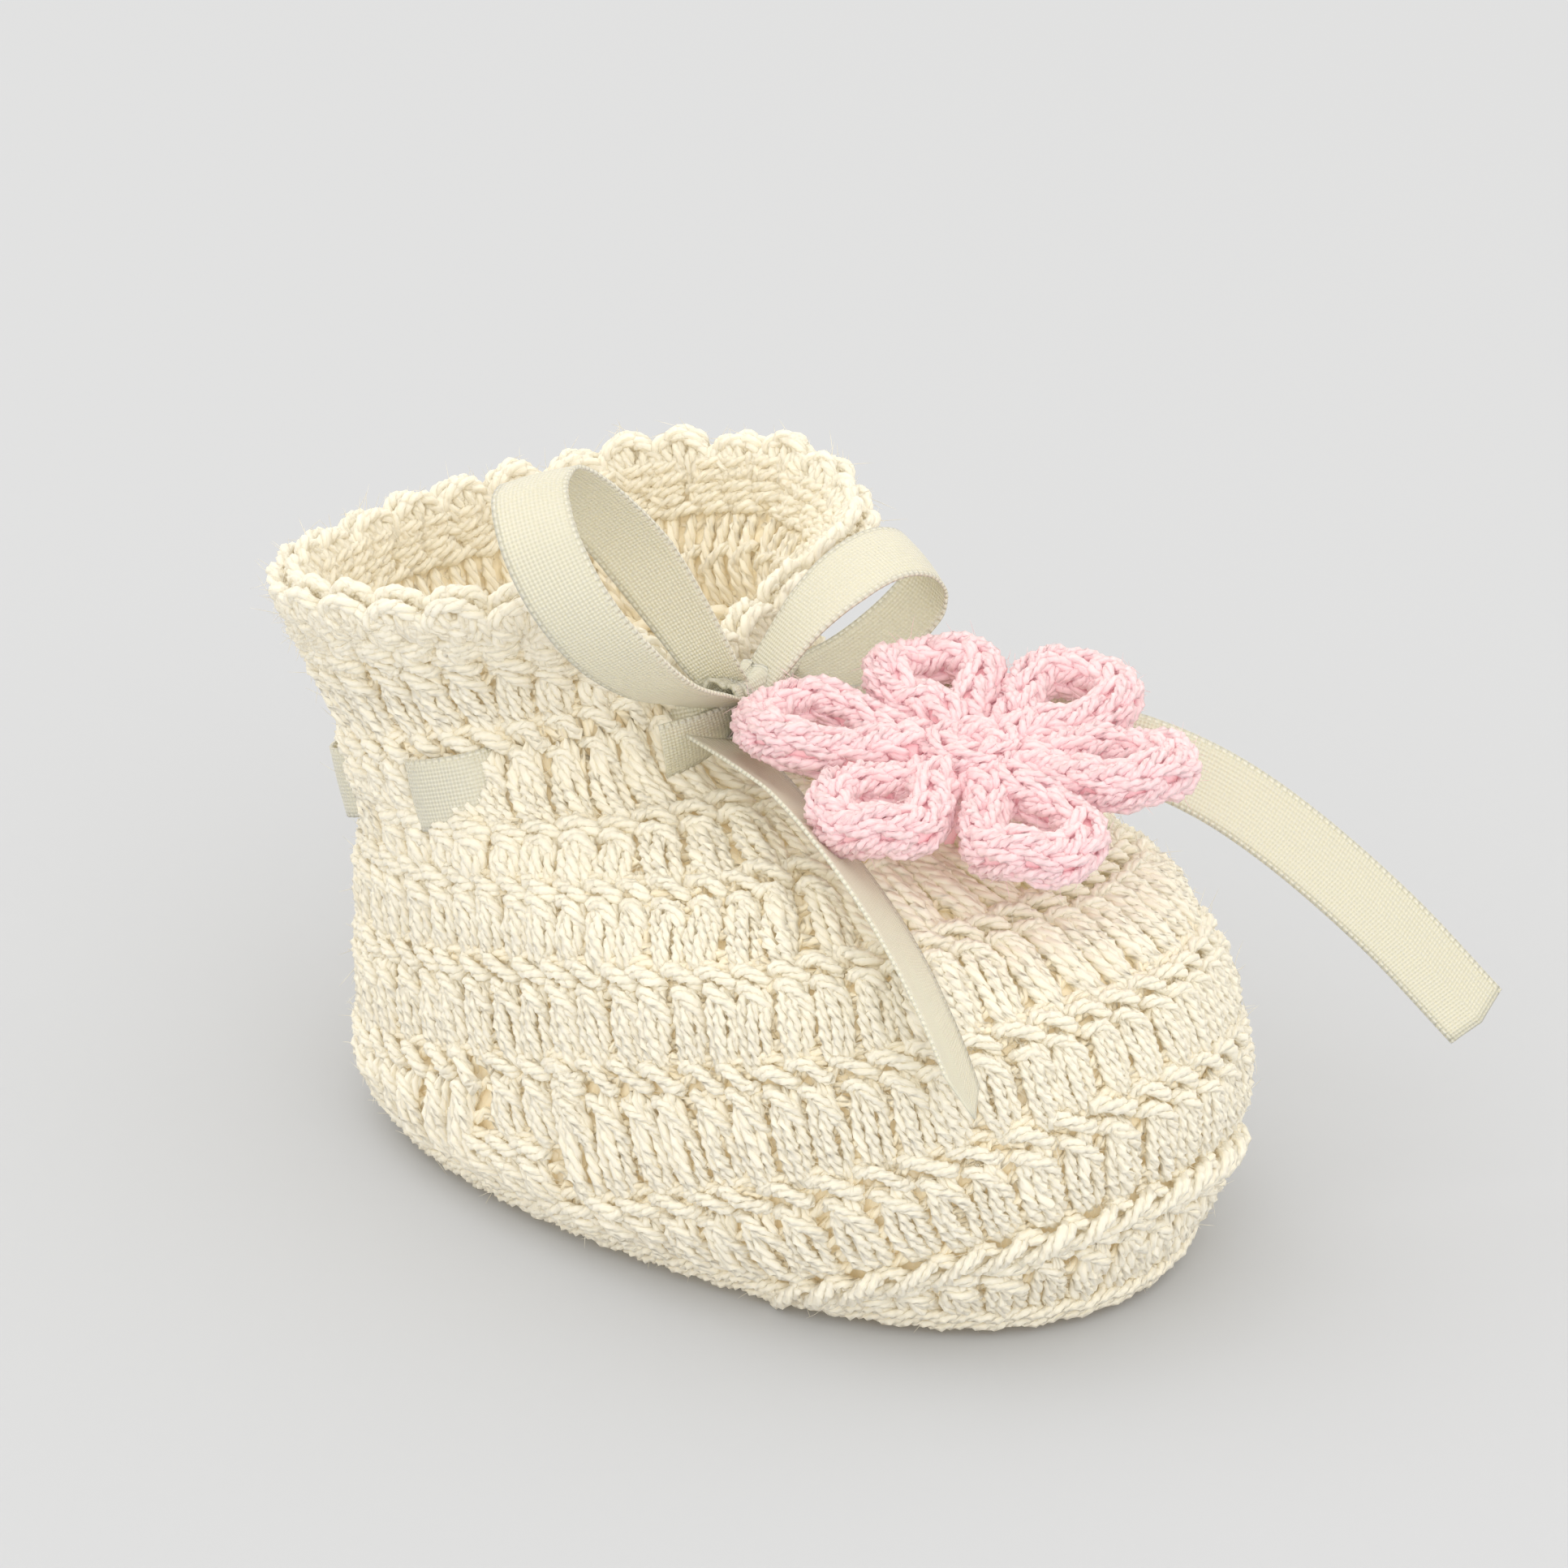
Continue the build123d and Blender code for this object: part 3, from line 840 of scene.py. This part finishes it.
def sole_ridge():
    """The raised chain where the sole turns up into the wall."""
    # each strand's last value is the painted shade its colour gets
    twist = [
        ([(-0.70, 0.10, 0.9), (-0.25, 0.20, 2.2), (0.25, 0.80, 2.6), (0.72, 0.95, 0.9)], 0.78, 0.0),
        ([(-0.60, 0.90, 0.2), (-0.20, 0.95, 1.2), (0.25, 0.10, 1.2), (0.66, 0.00, 0.2)], 0.70, 0.08),
    ]
    count = int(round(girth(ROUND["sole_ridge"] + 0.5) / 3.6))
    pile = stitch_round("sole_ridge", twist, count, least=0.9, flat=1.0)
    backing(pile, "sole_ridge", -1.9, 0.3, steps=4)
    fuzz(pile, 0.4)
    obj = pile.mesh("sole_ridge_crochet", CREAM)
    place(obj, "bootie", "cream_yarn", "sole_ridge")


def edging():
    """Small puffed shells of stitches along the rim."""
    r = ROUND["scallop_edging"]
    count = int(round(girth(r + 0.3) / 3.5))
    pile = stitch_round("scallop_edging", OUTSIDE, count, least=1.2)
    merge(pile, stitch_round("scallop_edging", INSIDE, count, least=1.2, segments=9))
    shells = 28
    u = (np.arange(shells) + rng.uniform(-0.10, 0.10, shells)) / shells
    low, _ = on_skin(u, np.full(shells, r - 0.8), np.full(shells, -1.3))
    rim, _ = on_skin(u, np.full(shells, r + 0.98), np.full(shells, -1.3))
    ahead, _ = on_skin(u + 0.004, np.full(shells, r + 0.98), np.full(shells, -1.3))
    rise = unit(rim - low)
    side = unit(ahead - rim)
    nor = unit(np.cross(side, rise))
    rise = unit(np.cross(nor, side))
    foot = rim - rise * 2.2
    reach = 4.3 * rng.uniform(0.90, 1.10, shells)

    def spot(x, y, d):
        return (
            foot[:, None] + side[:, None] * x[..., None] + rise[:, None] * y[..., None]
            + nor[:, None] * d[..., None]
        )

    face = np.repeat(nor[:, None], 9, 1)
    # the fan of stitches, in three layers
    # the fan's yarn gets a little painted shade
    for layer, tilt in ((1.0, 0.0), (-1.0, 0.12), (0.0, -0.1)):
        for angle in np.radians(np.array([-78, -47, -16, 16, 47, 78])):
            a = angle + tilt + rng.normal(0, 0.08, (shells, 1))
            f = np.array([0.0, 0.4, 0.75, 1.0])[None]
            x = np.sin(a) * (0.3 + f * 2.25)
            y = (0.35 + 0.65 * np.cos(a)) * f * reach[:, None]
            d = layer * np.sin(f * 2.5) + rng.normal(0, 0.10, x.shape)
            plied(pile, shifted(smooth(spot(x, y, d), 9)), face, 0.66, 0.03)
    # the yarn looped over the fan's rim, in front and behind
    arc = np.radians(np.array([-88, -52, -18, 18, 52, 88]))
    for k in range(len(arc) - 1):
        for layer in (0.6, -0.6):
            a = np.linspace(arc[k] - 0.18, arc[k + 1] + 0.18, 4)
            a = a[None, :] + rng.normal(0, 0.06, (shells, 1))
            bulge = 0.98 + np.array([0.0, 0.08, 0.08, 0.0]) + rng.normal(0, 0.03, (shells, 1))
            x = np.sin(a) * 2.5 * bulge
            y = (0.35 + 0.65 * np.cos(a)) * reach[:, None] * bulge
            d = layer + np.array([-0.2, 0.3, 0.3, -0.2]) * np.sign(layer)
            d = np.broadcast_to(d, x.shape)
            plied(pile, shifted(smooth(spot(x, y, d), 9)), face, 0.70)
    backing(pile, "scallop_edging", -1.6, 0.4, steps=5)
    fuzz(pile, 0.5)
    obj = pile.mesh("scallop_edging_crochet", CREAM)
    place(obj, "bootie", "cream_yarn", "scallop_edging")


sole()
sole_ridge()
edging()

# ---------------------------------------------------------------- drawn ribbon
GATHERS = 5             # times the ribbon comes out
OUT_SHARE = 0.40        # of each turn of the ribbon, the share outside
BAND_TOE_Z = 55.2
BAND_HEEL_Z = 31.4


def ribbon_band():
    """The closed band that runs out and in through the eyelets, in its tilted plane."""
    slope = (BAND_HEEL_Z - BAND_TOE_Z) / (HEEL_STATION - TOE_STATION)
    count = 700
    x, y = outline(np.array([6.2, 46.9, 19.3, 19.9]), count)
    tx = np.roll(x, -1) - np.roll(x, 1)
    ty = np.roll(y, -1) - np.roll(y, 1)
    norm = np.hypot(tx, ty)
    nx, ny = ty / norm, -tx / norm
    bearing = np.arctan2(nx, -ny)
    beat = np.cos(GATHERS * bearing) - math.cos(math.pi * OUT_SHARE)
    d = -1.45 + 2.20 * np.tanh(2.6 * beat)
    x = x + nx * d
    y = y + ny * d
    z = BAND_TOE_Z + slope * (y - TOE_STATION)
    line = shifted(np.stack([x, y, z], 1))
    line = np.concatenate([line, line[:1]])
    across = np.tile(unit(np.array([0, -slope, 1.0])), (count + 1, 1))
    pile = Pile()
    strip(pile, line, across, width=6.3, cup=-0.1)
    obj = pile.mesh("ribbon_band_satin", SATIN)
    place(obj, "bootie", "satin_ribbon", "ribbon_band")


ribbon_band()

KNOT = np.array([-3.5, 3.9 + Y_SHIFT, 42.0])


def bow_loop(name, x_dir, z_dir, length, half, sway):
    """A loop of ribbon out along x_dir and back, its width along z_dir turned by sway degrees."""
    root = 1.2
    length = length + 2.9       # the pulled-out tip and the root in the knot
    x_dir = unit(np.array(x_dir, float))
    z_dir = np.array(z_dir, float)
    z_dir = unit(z_dir - x_dir * (z_dir @ x_dir))
    y_dir = np.cross(z_dir, x_dir)
    lane = [
        (0.00, 0.10), (0.14, 0.42), (0.36, 0.88), (0.60, 1.06), (0.80, 0.94), (0.94, 0.56),
        (1.00, 0.10), (0.99, -0.24), (0.92, -0.54), (0.74, -0.72), (0.50, -0.72), (0.28, -0.46),
        (0.12, -0.20), (0.00, -0.10),
    ]
    ctrl = np.array([x_dir * (root + s * length) + y_dir * t * half for s, t in lane])
    line = smooth(ctrl, LOOP_POINTS) + KNOT
    f = np.linspace(-1, 1, LOOP_POINTS)
    swing = np.radians(sway + 8 * f)[:, None]
    across = z_dir * np.cos(swing) + x_dir * np.sin(swing)
    offset = f[:, None] * 0.2 * z_dir
    from_end = np.minimum(np.arange(LOOP_POINTS), np.arange(LOOP_POINTS)[::-1])
    pinch = np.clip(from_end / 26, 0, 1)
    width = RIBBON_WIDTH * (0.55 + 0.45 * pinch)[:, None]
    pile = Pile()
    strip(pile, line + offset, across, width=width, cup=0.25)
    obj = pile.mesh(name + "_satin", SATIN)
    place(obj, None, "satin_ribbon", name)
    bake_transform(obj)


bow_loop("bow_loop_left", (0.913, -0.156, 0.377), (-0.074, -0.972, -0.222), 17.4, 5.4, -12)
bow_loop("bow_loop_right", (-0.652, 0.100, 0.752), (0.449, -0.748, 0.489), 27.4, 8.0, -16)


def bow_knot():
    """The tight turn of ribbon over the crossing, with the folds it gathers."""
    pile = Pile()
    n = 64
    a = np.linspace(0, TAU, n)
    crumple = 1 + 0.07 * np.sin(3 * a + 0.6) + 0.05 * np.sin(7 * a)
    line = np.stack([
        0.25 * np.sin(a * 2), -1.95 * np.cos(a) * crumple, 2.7 * np.sin(a) * crumple
    ], 1) + KNOT
    across = np.tile([1.0, 0.0, 0.10], (n, 1))
    strip(pile, line, across, width=4.4, thick=0.3, cup=-0.45)
    line = np.stack([
        0.35 + 0.3 * np.sin(a), -2.25 * np.cos(a) * crumple, 2.2 * np.sin(a) * crumple - 0.2
    ], 1) + KNOT
    strip(pile, line, np.tile([0.96, 0.0, -0.25], (n, 1)), width=3.2, thick=0.3, cup=-0.35)
    for sign, drop in ((-1, -1.6), (1, -0.6)):
        t = np.linspace(0, 1, 30)[:, None]
        end = KNOT + np.array([sign * 7.5, 1.4, drop * 1.6])
        bend = np.array([sign * 1.5, -1.4, -1.2])
        line = KNOT * (1 - t) ** 2 + 2 * (KNOT + bend) * t * (1 - t) + end * t ** 2
        across = np.tile([0.0, -0.25, 1.0], (30, 1))
        strip(pile, line, across, width=(3.2 + 2.6 * t), thick=0.25, cup=0.35)
    obj = pile.mesh("bow_knot_satin", SATIN)
    place(obj, "bootie", "satin_ribbon", "bow_knot")


bow_knot()

# ---------------------------------------------------------------- flower
FLOWER = np.array([2.0, -18.0 + Y_SHIFT, 42.0])
HUB_RADIUS = 4.2
PETAL_GAP = 0.35
ROPE_RADIUS = 2.2
PETAL_HALF_WIDTH = 5.6
# bearing and lift in degrees, and reach from the flower's middle in mm
PETALS = [
    (120, 6, 20.5), (60, 14, 17.0), (-1, 10, 18.0),
    (-56, 2, 19.0), (-113, -6, 18.5), (-176, -3, 17.5),
]


def rope(pile, path, up, core, yarn, pitch, closed=True):
    """Crocheted rope: V after V around a soft core, along path in mm."""
    n = 400
    line = smooth(path, n, closed)
    if closed:
        tangent = unit(np.roll(line, -1, 0) - np.roll(line, 1, 0))
        gaps = np.linalg.norm(np.roll(line, -1, 0) - line, axis=1)
        run = np.concatenate([[0], np.cumsum(gaps)])
    else:
        tangent = unit(np.gradient(line, axis=0))
        run = np.concatenate([[0], np.cumsum(np.linalg.norm(np.diff(line, axis=0), axis=1))])
    side = unit(np.cross(tangent, up))
    lift = np.cross(side, tangent)
    total = run[-1]
    step = n // 80      # the hidden core needs fewer points
    # the core's colour gets painted shade
    strands(pile, line[None, ::step], lift[None, ::step], core, 0.2, 12, closed=closed)
    count = max(int(round(total / pitch)), 4)
    base = np.arange(count) / count

    def ring_at(s, phi, r):
        f = (s % 1.0) * n if closed else np.clip(s, 0, 1) * (n - 1.001)
        i = f.astype(int) % n
        i2 = (i + 1) % n if closed else np.minimum(i + 1, n - 1)
        w = (f - np.floor(f))[..., None]

        def mix(g):
            return g[i] * (1 - w) + g[i2] * w

        out = mix(side) * np.sin(phi)[..., None] + mix(lift) * np.cos(phi)[..., None]
        return mix(line) + out * np.asarray(r)[..., None], out

    for k, centre in enumerate((0, 90, 180, 270)):
        for hand in (-1, 1):
            s = np.array([-0.10, 0.25, 0.75, 1.15, 1.35])
            phi = np.array([3, 12, 30, 42, 46]) * hand + centre
            r = core + np.array([-0.15, 0.50, 0.55, 0.30, -0.3]) * (1.0 if k % 2 == 0 else 0.8)
            ss = base[:, None] + (s + 0.5 * (k % 2))[None] / count
            ss = ss + rng.normal(0, 0.03 / count, (count, 1))
            pp = np.radians(phi)[None] + rng.normal(0, 0.05, (count, 1))
            rr = r[None] + rng.normal(0, 0.05, (count, 5))
            pos, out = ring_at(ss, pp, rr)
            plied(
                pile, smooth(pos, 10), unit(smooth(out, 10)),
                yarn * rng.uniform(0.92, 1.08, (count, 1)), 0.0,
            )


def petal(number, azimuth, lift, reach):
    """A rope worked out from the hub, round its tip and back, around an open middle."""
    a = math.radians(azimuth)
    e = math.radians(lift)
    out = np.array([math.cos(a) * math.cos(e), math.sin(a) * math.cos(e), math.sin(e)])
    side = np.array([-math.sin(a), math.cos(a), 0])
    up = np.cross(out, side)
    start = HUB_RADIUS + PETAL_GAP + ROPE_RADIUS
    end = reach - ROPE_RADIUS
    half = PETAL_HALF_WIDTH - ROPE_RADIUS + 0.5
    span = end - start
    lane = [
        (start - 2.6, 0.9), (start, half * 0.34), (start + 0.30 * span, half * 0.82),
        (start + 0.68 * span, half * 1.08), (start + 0.93 * span, half * 0.66),
        (end + 0.2, 0.0),
        (start + 0.93 * span, -half * 0.66), (start + 0.68 * span, -half * 1.08),
        (start + 0.30 * span, -half * 0.82), (start, -half * 0.34), (start - 2.6, -0.9),
    ]
    wave = rng.normal(0, 0.35, len(lane))
    path = [FLOWER + out * s + side * t + up * w for (s, t), w in zip(lane, wave)]
    pile = Pile()
    rope(pile, path, up, 1.25, 0.64, 2.8, closed=False)
    fuzz(pile, 0.5)
    name = f"petal_{number}"
    obj = pile.mesh(name + "_crochet", PINK)
    place(obj, None, "pink_yarn", name)
    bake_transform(obj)


for number, (azimuth, lift, reach) in enumerate(PETALS, start=1):
    petal(number, azimuth, lift, reach)


def flower_centre():
    """Two stacked rings of stitches that the petals grow from."""
    pile = Pile()
    a = np.arange(10) * TAU / 10
    ring = FLOWER + np.stack([2.7 * np.cos(a), 2.7 * np.sin(a), 0.5 + 0 * a], 1)
    rope(pile, ring, np.array([0, 0, 1.0]), 1.3, 0.6, 2.8)
    ring = FLOWER + np.stack([1.5 * np.cos(a), 1.5 * np.sin(a), -1.6 + 0 * a], 1)
    rope(pile, ring, np.array([0, 0, 1.0]), 1.2, 0.55, 2.6)
    fuzz(pile, 0.5)
    obj = pile.mesh("flower_centre_crochet", PINK)
    place(obj, "flower", "pink_yarn", "flower_centre")


def flower_stitches():
    """The yarn that sews the flower to the instep."""
    threads = 7
    pile = Pile()
    lines = []
    for k in range(threads):
        a = k * TAU / threads
        foot = FLOWER + np.array([2.6 * math.cos(a), 2.6 * math.sin(a), -8.2])
        mid = FLOWER + np.array([2.0 * math.cos(a + 0.4), 2.0 * math.sin(a + 0.4), -5.0])
        top = FLOWER + np.array([1.6 * math.cos(a + 0.8), 1.6 * math.sin(a + 0.8), -2.2])
        lines.append([foot, mid, top])
    line = smooth(np.array(lines), 12)
    out = np.tile([0.3, 0.2, 0.9], (threads, 12, 1))
    # the threads' colour gets painted shade
    strands(pile, line, out, 0.6, 0.3, 8)
    obj = pile.mesh("flower_stitches_yarn", PINK)
    place(obj, "bootie", "pink_yarn", "flower_stitches")


flower_centre()
flower_stitches()

# ---------------------------------------------------------------- floor, light
def stage_floor():
    me = bpy.data.meshes.new("floor")
    s = 4.0
    me.from_pydata([(-s, -s, 0), (s, -s, 0), (s, s, 0), (-s, s, 0)], [], [(0, 1, 2, 3)])
    obj = bpy.data.objects.new("floor", me)
    bpy.context.scene.collection.objects.link(obj)
    obj.location.z = -0.0006
    mat, _, bsdf = new_material("floor_paper")
    bsdf.inputs["Base Color"].default_value = (0.548, 0.569, 0.616, 1)
    bsdf.inputs["Roughness"].default_value = 1.0
    bsdf.inputs["Specular IOR Level"].default_value = 0.0
    me.materials.append(mat)


def area(name, screen, size, power, colour):
    """A soft light placed by screen right, screen up and towards the camera, in metres."""
    right = Vector((math.cos(AZIMUTH), math.sin(AZIMUTH), 0))
    flat_back = Vector((math.sin(AZIMUTH), -math.cos(AZIMUTH), 0))
    light = bpy.data.lights.new(name, "AREA")
    light.shape = "DISK"
    light.size = size
    light.energy = power
    light.color = colour
    obj = bpy.data.objects.new(name, light)
    bpy.context.scene.collection.objects.link(obj)
    spot = target + right * screen[0] + Vector((0, 0, 1)) * screen[1] + flat_back * screen[2]
    obj.location = spot
    obj.rotation_euler = (spot - target).to_track_quat("Z", "Y").to_euler()


stage_floor()
world = bpy.data.worlds.new("studio")
bpy.context.scene.world = world
world.use_nodes = True
WARM_SKY = (1.0, 0.957, 0.870, 1)
COOL_LAMP = (0.97, 0.985, 1.0)
world.node_tree.nodes["Background"].inputs["Color"].default_value = WARM_SKY
world.node_tree.nodes["Background"].inputs["Strength"].default_value = 1.25
area("key", screen=(-0.8, 1.6, -0.5), size=1.4, power=3.5, colour=COOL_LAMP)
area("fill", screen=(0.3, 0.7, 1.5), size=2.0, power=7, colour=COOL_LAMP)
bpy.context.scene.view_settings.view_transform = "Standard"
bpy.context.scene.view_settings.look = "None"
bpy.context.scene.view_settings.exposure = 0.0
